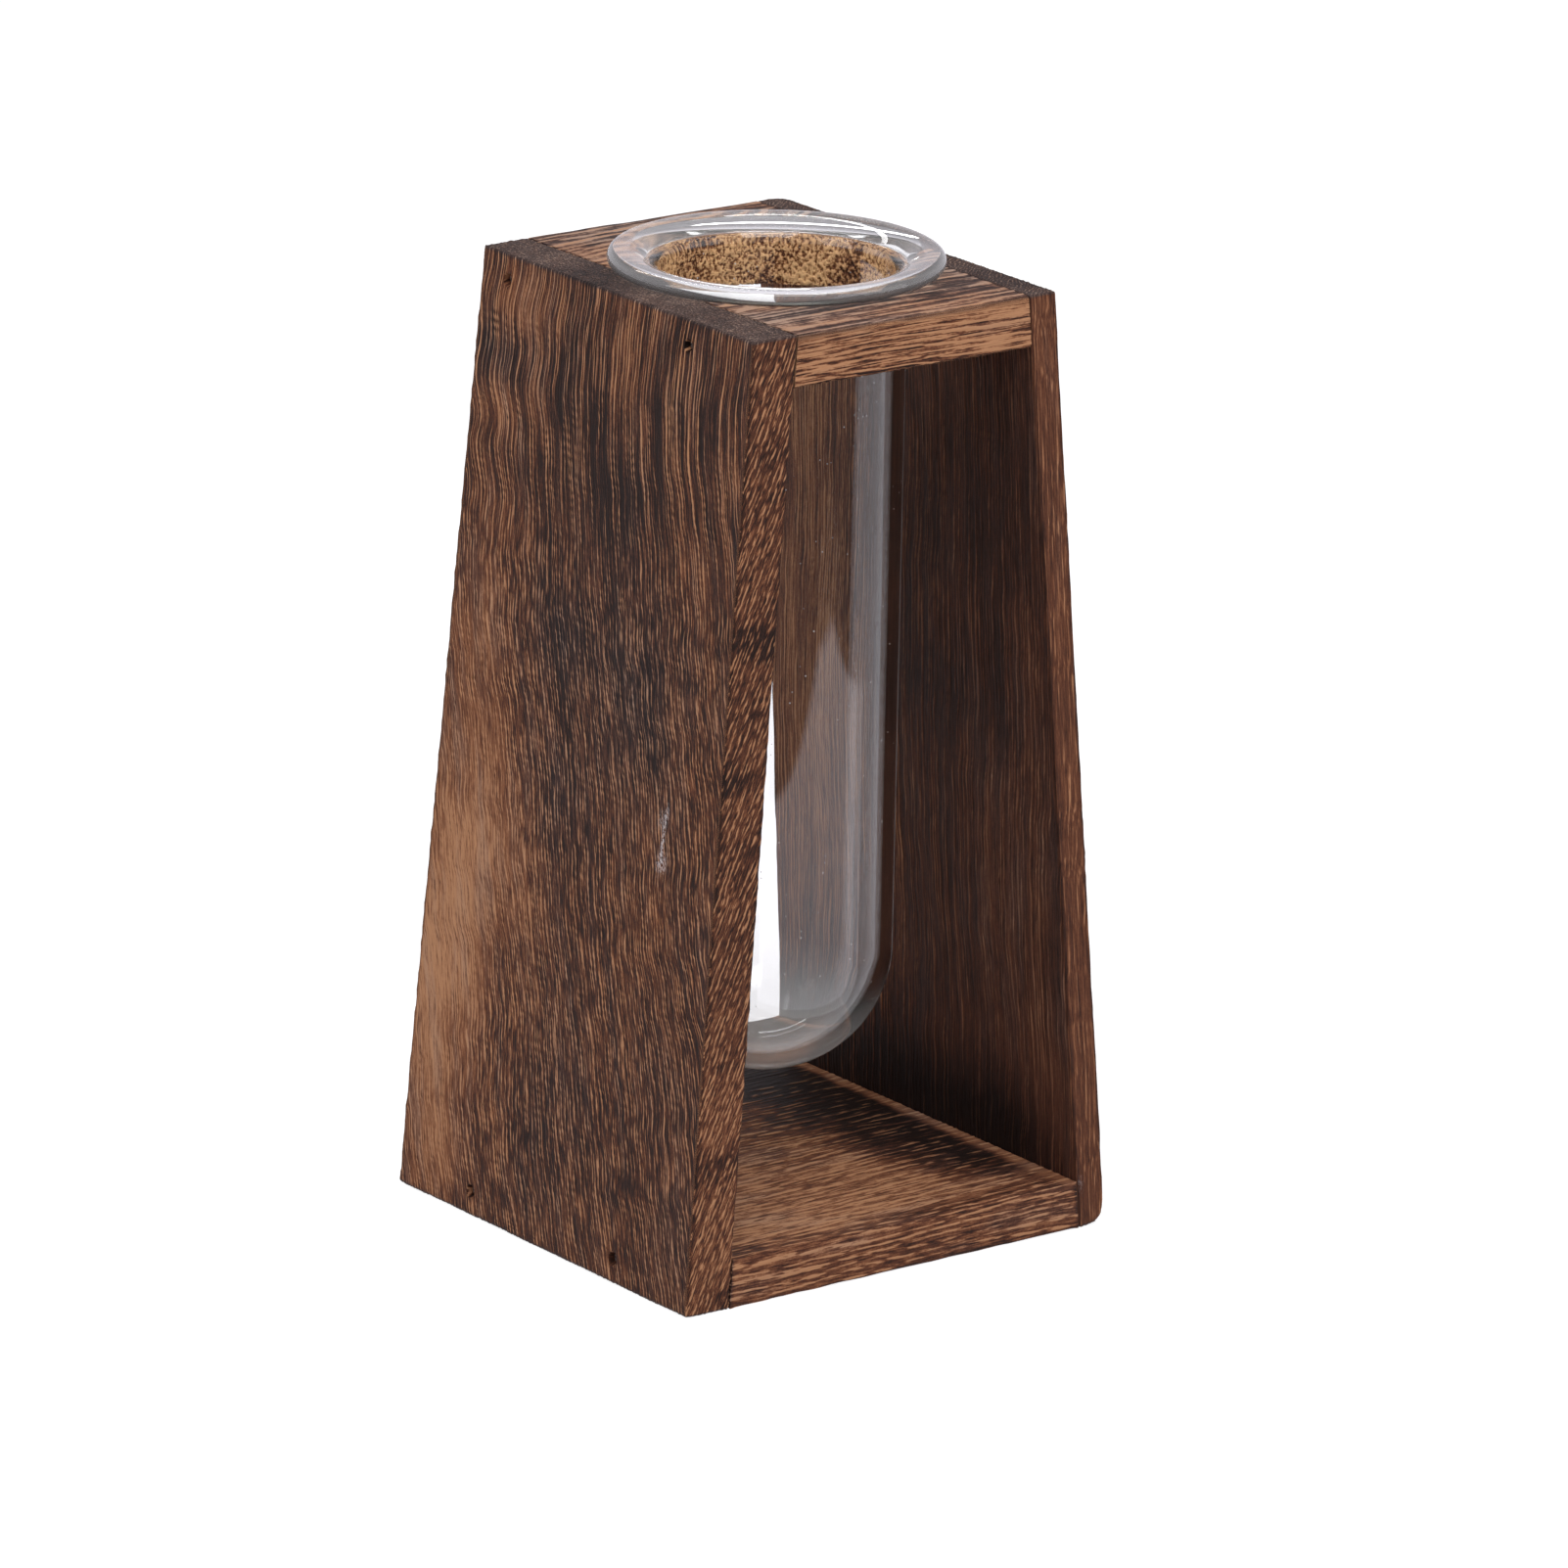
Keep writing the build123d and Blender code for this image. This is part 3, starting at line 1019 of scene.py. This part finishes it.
def glass_section():
    """The tube's section in (radius, height) points: up its outside, round the rim and down its inside."""
    inner = TUBE_RADIUS - WALL
    bead = RIM_THICKNESS / 2
    stand_top = RIM_TOP - RIM_THICKNESS
    mouth_low = RIM_TOP - MOUTH_RADIUS
    outer_bowl = TUBE_BOTTOM + TUBE_RADIUS
    inner_bowl = TUBE_BOTTOM + BOTTOM_WALL + inner

    def arc(centre, radius, start, end, count):
        angles = np.radians(np.linspace(start, end, count))
        return [(centre[0] + radius * math.cos(a), centre[1] + radius * math.sin(a)) for a in angles]

    def straight(radius, start, end):
        return [(radius, height) for height in np.linspace(start, end, STRAIGHT_STEPS)[1:-1]]

    outline = arc((0, outer_bowl), TUBE_RADIUS, -90, 0, BOWL_STEPS)
    outline += straight(TUBE_RADIUS, outer_bowl, stand_top - RIM_ROOT_RADIUS)
    root_centre = (TUBE_RADIUS + RIM_ROOT_RADIUS, stand_top - RIM_ROOT_RADIUS)
    outline += arc(root_centre, RIM_ROOT_RADIUS, 180, 90, ROOT_STEPS)
    outline += arc((RIM_RADIUS - bead, stand_top + bead), bead, -90, 90, BEAD_STEPS)
    # The top of the rim is a low dome
    dome = RIM_RADIUS - bead - inner
    for angle in np.radians(np.linspace(90, 180, MOUTH_STEPS)[1:]):
        outline.append((inner + dome + dome * math.cos(angle), mouth_low + MOUTH_RADIUS * math.sin(angle)))
    outline += straight(inner, mouth_low, inner_bowl)
    outline += arc((0, inner_bowl), inner, 0, -90, BOWL_STEPS)
    return outline


def turned(outline, segments):
    """The points and faces turned from a section that starts and ends on the tube's axis."""
    angles = np.linspace(0, math.tau, segments, endpoint=False)
    points = [(TUBE_X, 0, outline[0][1])]
    for radius, height in outline[1:-1]:
        for angle in angles:
            points.append((TUBE_X + radius * math.cos(angle), radius * math.sin(angle), height))
    points.append((TUBE_X, 0, outline[-1][1]))
    last = len(points) - 1
    rings = len(outline) - 2
    faces = []
    for i in range(segments):
        j = (i + 1) % segments
        faces.append((0, 1 + j, 1 + i))
        for ring in range(rings - 1):
            a = 1 + ring * segments
            b = a + segments
            faces.append((a + i, a + j, b + j, b + i))
        a = 1 + (rings - 1) * segments
        faces.append((a + i, a + j, last))
    return np.array(points), faces


def blown_tube():
    """The glass tube, with painted light in its bowl and a haze round its rim."""
    points, faces = turned(glass_section(), TUBE_SEGMENTS)
    height = points[:, 2]
    stand_top = RIM_TOP - RIM_THICKNESS
    bowl = ramp(height, TUBE_BOTTOM + 20, TUBE_BOTTOM + 2)
    rim = ramp(height, stand_top - 1.5, stand_top + 0.5)
    outer = ramp(np.hypot(points[:, 0] - TUBE_X, points[:, 1]), RIM_RADIUS - 1.4, RIM_RADIUS - 0.3)
    # In the bowl this haze is painted light, and round the rim it is haze
    return make_mesh("blown_tube", points, faces, {"haze_and_painted_light": 0.13 * bowl + 0.02 * rim + 0.16 * outer})


def dress(piece, material, body, node):
    """Gives a piece its material and its place in the frame."""
    piece.data.materials.clear()
    piece.data.materials.append(material)
    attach(piece, body)
    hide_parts(node)


wood = torched_wood()

left_board = side_board("torched_left_board", -1, LEFT_THICKNESS, LEFT_FOOT_WEAR, LEFT_BRADS, left_zones)
right_board = side_board("torched_right_board", 1, RIGHT_THICKNESS, RIGHT_FOOT_WEAR, RIGHT_BRADS, right_zones)
bottom_board = cross_board("torched_bottom_board", 0, FLOOR_TOP, bottom_zones)
top_board = holed_board("torched_top_board", TOP_UNDERSIDE, STAND_HEIGHT, top_zones)
dress(left_board, wood, "stand", "left_side_board")
dress(right_board, wood, "stand", "right_side_board")
dress(bottom_board, wood, "stand", "bottom_board")
dress(top_board, wood, "stand", "top_board")
dress(blown_tube(), clear_glass(), "tube", "glass_tube")

steel = brad_steel()
for node in LEFT_BRADS + RIGHT_BRADS:
    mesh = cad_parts[node].data
    mesh.materials.clear()
    mesh.materials.append(steel)


# The stage

# The pale table's edges: their azimuths and how far away they are. Glass mirrors the dark room past
# them, but not on the white side.
TABLE_EDGES = ((-35, 285), (0, 388), (50.5, 361))
EDGE_BLUR = 6
WHITE_SIDE_AZIMUTH = 118
WHITE_SIDE = 292
SIDE_BLUR = 60
ROOM_SHARE = 0.93
# The room's walls and ceiling: where they start and are full in the sky, and how dim they are
ROOM_AZIMUTH = -20
ROOM_REACH = (0.4, 0.9)
ROOM_DIMMING = 0.6
CEILING_REACH = (0.12, 0.55)
CEILING_DIMMING = 0.62

MIRRORED_WHITE = (0.88, 0.85, 0.93, 1)
THROUGH_WHITE = (0.92, 0.90, 0.95, 1)
PURE_WHITE = (1, 1, 1, 1)

# The floor: as it lights the object, as its shadow shows, its glow, and as the room's floor
FLOOR_COLOUR = (0.7, 0.7, 0.7, 1)
SHADED_COLOUR = (0.42, 0.42, 0.42, 1)
FLOOR_GLOW = 0.80
ROOM_COLOUR = (0.02, 0.02, 0.02, 1)
FLOOR_REACH = 3000
FLOOR_GAP = 0.02

# The lamps: name, azimuth, elevation, width, height and power
SOFTBOXES = [
    ("key", -25, 58, 600, 500, 4.6),
    ("front_right", 42, 14, 620, 900, 2.4),
    ("left", -100, 30, 500, 600, 2.2),
    ("rim_strip", 160, 42, 500, 60, 0.7),
]
SOFTBOX_DISTANCE = 900
SOFTBOX_AIM = (0, 0, 90)
WORLD_LIGHT = 0.48


def direction_of(azimuth, elevation):
    """The way out at two angles in degrees. Azimuth 0 is in front, and 90 to the right."""
    a, e = math.radians(azimuth), math.radians(elevation)
    return Vector((math.sin(a) * math.cos(e), -math.cos(a) * math.cos(e), math.sin(e)))


def towards(tree, position, azimuth):
    """How far a place or a direction reaches towards an azimuth."""
    inputs = {0: position, 1: direction_of(azimuth, 0)}
    return add(tree, "ShaderNodeVectorMath", inputs, operation="DOT_PRODUCT").outputs["Value"]


def past_table(tree, position):
    """How much less white a place on the floor is than the table."""
    past = 0
    for azimuth, edge in TABLE_EDGES:
        low, high = edge - EDGE_BLUR, edge + EDGE_BLUR
        beyond = step(tree, towards(tree, position, azimuth), low * MM, high * MM)
        past = calc(tree, "MAXIMUM", past, beyond)
    low, high = WHITE_SIDE - SIDE_BLUR, WHITE_SIDE + SIDE_BLUR
    side = towards(tree, position, WHITE_SIDE_AZIMUTH)
    return product(tree, past, step(tree, side, low * MM, high * MM, ROOM_SHARE, 0))


def mirrored(tree):
    """1 for what a mirror or glass has thrown back, and 0 for the rest."""
    return calc(tree, "MINIMUM", add(tree, "ShaderNodeLightPath").outputs["Glossy Depth"], 1)


def shown_white(tree):
    """The white of the surroundings: pure for the camera, and less in mirrors and through glass."""
    camera = add(tree, "ShaderNodeLightPath").outputs["Is Camera Ray"]
    return blend(tree, camera, blend(tree, mirrored(tree), THROUGH_WHITE, MIRRORED_WHITE), PURE_WHITE)


def seen_directly(tree):
    """1 for what the camera, mirrors and glass see, and 0 for light on the object."""
    path = add(tree, "ShaderNodeLightPath")
    reached = calc(tree, "MAXIMUM", path.outputs["Is Glossy Ray"], path.outputs["Is Transmission Ray"])
    return calc(tree, "MAXIMUM", path.outputs["Is Camera Ray"], reached)


def floor_material():
    """A pale floor that keeps the object's shadow and shows white elsewhere."""
    material, tree = new_material("floor")
    plain = add(tree, "ShaderNodeBsdfDiffuse", {"Color": FLOOR_COLOUR})
    shaded = add(tree, "ShaderNodeBsdfDiffuse", {"Color": SHADED_COLOUR})
    glow = add(tree, "ShaderNodeEmission", {"Color": shown_white(tree), "Strength": FLOOR_GLOW})
    table = add(tree, "ShaderNodeAddShader", {0: shaded, 1: glow})
    room = add(tree, "ShaderNodeBsdfDiffuse", {"Color": ROOM_COLOUR})
    position = add(tree, "ShaderNodeNewGeometry").outputs["Position"]
    dark = product(tree, past_table(tree, position), mirrored(tree))
    shown = mix_shader(tree, dark, table, room)
    surface = mix_shader(tree, seen_directly(tree), plain, shown)
    add(tree, "ShaderNodeOutputMaterial", {"Surface": surface})
    return material


def add_floor():
    """The floor, a hair below the object."""
    corners = np.array([(-1, -1, 0), (1, -1, 0), (1, 1, 0), (-1, 1, 0)]) * FLOOR_REACH
    mesh = bpy.data.meshes.new("floor")
    mesh.from_pydata((corners * MM).tolist(), [], [(0, 1, 2, 3)])
    mesh.materials.append(floor_material())
    floor = add_object("floor", mesh)
    floor.location.z = -FLOOR_GAP * MM


def add_world():
    """White where it is seen, and a soft even light on the object."""
    world = bpy.data.worlds.new("studio")
    bpy.context.scene.world = world
    world.use_nodes = True
    tree = world.node_tree
    tree.nodes.clear()
    direction = add(tree, "ShaderNodeTexCoord").outputs["Generated"]
    upward = add(tree, "ShaderNodeSeparateXYZ", {0: direction}).outputs[2]
    ceiling = step(tree, upward, *CEILING_REACH, 0, CEILING_DIMMING)
    room = step(tree, towards(tree, direction, ROOM_AZIMUTH), *ROOM_REACH, 0, ROOM_DIMMING)
    dim = calc(tree, "MAXIMUM", ceiling, product(tree, room, mirrored(tree)))
    strength = mix(tree, seen_directly(tree), WORLD_LIGHT, calc(tree, "SUBTRACT", 1, dim))
    light = add(tree, "ShaderNodeBackground", {"Color": shown_white(tree), "Strength": strength})
    add(tree, "ShaderNodeOutputWorld", {"Surface": light})


def add_softbox(name, azimuth, elevation, width, height, power):
    """An area lamp that faces the object, unseen by the camera."""
    back = direction_of(azimuth, elevation)
    lamp = bpy.data.lights.new(name, "AREA")
    lamp.shape = "RECTANGLE"
    lamp.size = width * MM
    lamp.size_y = height * MM
    lamp.energy = power
    piece = add_object(name, lamp)
    piece.location = (Vector(SOFTBOX_AIM) + back * SOFTBOX_DISTANCE) * MM
    piece.rotation_mode = "QUATERNION"
    piece.rotation_quaternion = (-back).to_track_quat("-Z", "Y")
    piece.visible_camera = False


def add_camera():
    """The camera at the photograph's angle."""
    azimuth, roll = math.radians(CAMERA_AZIMUTH), math.radians(CAMERA_ROLL)
    back = direction_of(CAMERA_AZIMUTH, CAMERA_ELEVATION)
    level = Vector((math.cos(azimuth), math.sin(azimuth), 0))
    upright = back.cross(level)
    right = level * math.cos(roll) + upright * math.sin(roll)
    up = upright * math.cos(roll) - level * math.sin(roll)
    data = bpy.data.cameras.new("camera")
    data.sensor_width = SENSOR_WIDTH
    data.lens = FOCAL_PIXELS / IMAGE_SIDE * SENSOR_WIDTH
    data.clip_start = CLIP_START * MM
    data.clip_end = CLIP_END * MM
    camera = add_object("camera", data)
    turn = Matrix((right, up, back)).transposed().to_4x4()
    camera.matrix_world = Matrix.Translation((Vector(CAMERA_TARGET) + back * CAMERA_DISTANCE) * MM) @ turn
    bpy.context.scene.camera = camera


add_floor()
add_world()
for softbox in SOFTBOXES:
    add_softbox(*softbox)
add_camera()
bpy.context.scene.view_settings.view_transform = "Standard"
